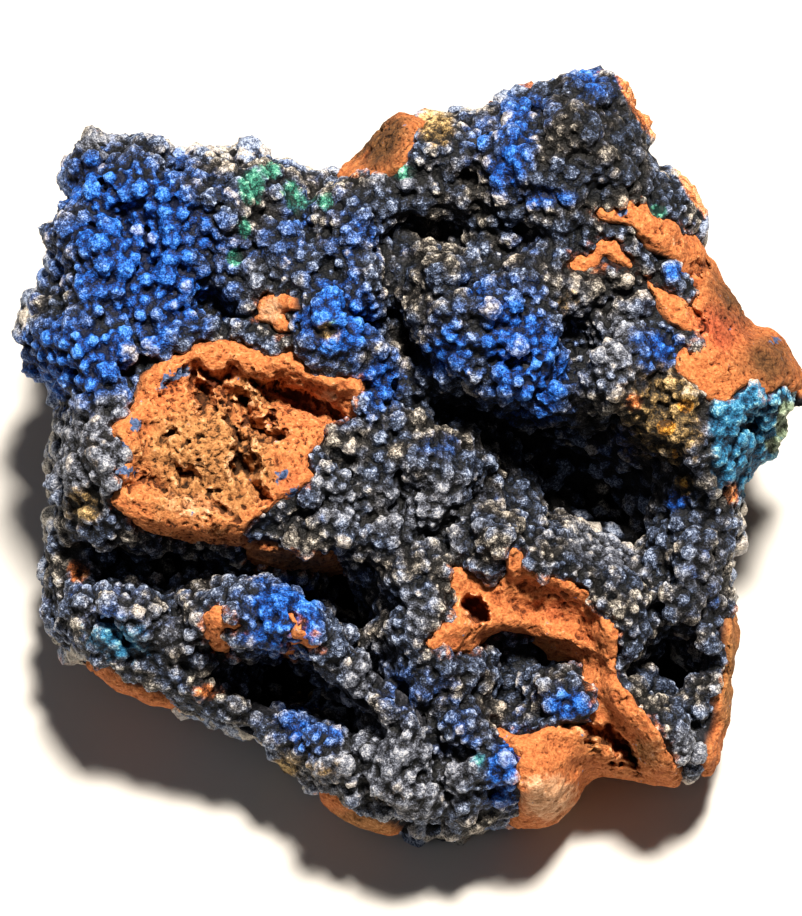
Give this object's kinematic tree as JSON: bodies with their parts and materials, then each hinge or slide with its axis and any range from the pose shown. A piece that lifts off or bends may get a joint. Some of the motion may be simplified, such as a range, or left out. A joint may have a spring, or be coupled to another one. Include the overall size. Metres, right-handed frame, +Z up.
{
  "type": "azurite specimen",
  "caption": "Leaning block of rusty limonite rock with a flat sawn base, its face grown over by a knobbly blue azurite crust with caves, ridges and bare orange patches",
  "frame": {"origin": "Centre of the bounding box's bottom, in the plane of the sawn base", "axes": "+Z up; the crystal face looks up and towards -Y; +X to the right as seen from the front"},
  "size_m": [0.1932, 0.1872, 0.1266],
  "materials": {
    "limonite": "rough, earthy broken rock",
    "azurite": "velvety crystalline crust"
  },
  "bodies": {
    "root": {"limonite_matrix": "limonite", "azurite_crust": "azurite"}
  },
  "joints": []
}
